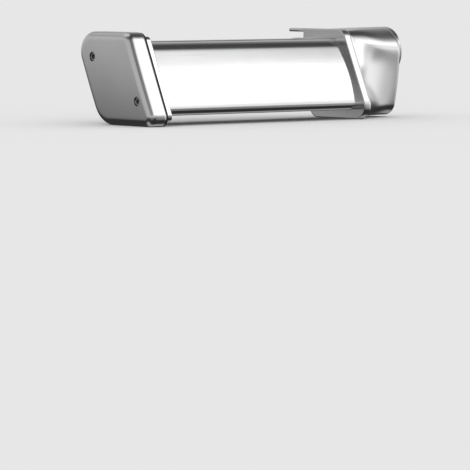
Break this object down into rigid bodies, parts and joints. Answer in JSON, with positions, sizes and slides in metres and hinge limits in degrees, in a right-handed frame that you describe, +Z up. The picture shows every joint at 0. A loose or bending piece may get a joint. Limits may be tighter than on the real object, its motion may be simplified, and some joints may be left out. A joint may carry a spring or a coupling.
{
  "type": "pasta cutting head",
  "caption": "Chromed pasta cutting head: intermeshing cutter rollers between end frames, geared to a square drive socket in a round hub, with a feed slot above and an outlet below.",
  "frame": {"origin": "on the supporting surface, centred under the bounding box of the whole machine", "axes": "+X along the rollers towards the drive hub, +Y towards the back, +Z up"},
  "size_m": [0.2254, 0.0788, 0.0596],
  "materials": {
    "chrome_casting": "polished bright chrome plate",
    "polished_cover": "mirror polished stainless sheet",
    "end_frame": "satin ground steel",
    "tie_rod": "drawn bar",
    "fastener": "stainless screw",
    "bronze_bush": "sintered bronze, oiled",
    "thrust_washer": "acetal washer",
    "seal": "moulded black rubber",
    "comb": "machined and tumbled",
    "collar_steel": "turned steel",
    "cutter_steel": "turned and ground",
    "gear_steel": "hobbed steel with a film of grease",
    "spring_clip": "blackened spring steel"
  },
  "bodies": {
    "body": {"left_end_cap": "chrome_casting", "gear_housing": "chrome_casting", "left_frame": "end_frame", "right_frame": "end_frame", "front_panel": "polished_cover", "rear_panel": "polished_cover", "front_upper_rod": "tie_rod", "front_lower_rod": "tie_rod", "rear_upper_rod": "tie_rod", "rear_lower_rod": "tie_rod", "left_rod_screws": "fastener", "right_rod_screws": "fastener", "end_cap_screws": "fastener", "housing_screws": "fastener", "front_left_bush": "bronze_bush", "rear_left_bush": "bronze_bush", "front_right_bush": "bronze_bush", "rear_right_bush": "bronze_bush", "shaft_tip_bush": "bronze_bush", "drive_bush": "bronze_bush", "thrust_washers": "thrust_washer", "front_comb": "comb", "rear_comb": "comb", "drive_collar": "collar_steel", "cap_seal": "seal"},
    "front_roller": {"front_cutter_roller": "cutter_steel", "front_roller_gear": "gear_steel", "front_gear_clip": "spring_clip"},
    "rear_roller": {"rear_cutter_roller": "cutter_steel", "rear_roller_gear": "gear_steel", "rear_gear_clip": "spring_clip"},
    "drive": {"drive_shaft": "gear_steel", "drive_pinion": "gear_steel", "pinion_clip": "spring_clip"}
  },
  "joints": [
    {"name": "front_roller_spin", "type": "hinge", "parent": "body", "child": "front_roller", "pos_m": [0, -0.0115, 0.0261], "axis": [1, 0, 0], "continuous": true},
    {"name": "rear_roller_spin", "type": "hinge", "parent": "body", "child": "rear_roller", "pos_m": [0, 0.0085, 0.0261], "axis": [1, 0, 0], "continuous": true},
    {"name": "drive_spin", "type": "hinge", "parent": "body", "child": "drive", "pos_m": [0.0657, -0.00549, 0.04307], "axis": [1, 0, 0], "continuous": true}
  ],
  "couplings": [
    {"joint": "rear_roller_spin", "follows": "front_roller_spin", "ratio": -1},
    {"joint": "drive_spin", "follows": "front_roller_spin", "ratio": -1.25}
  ]
}
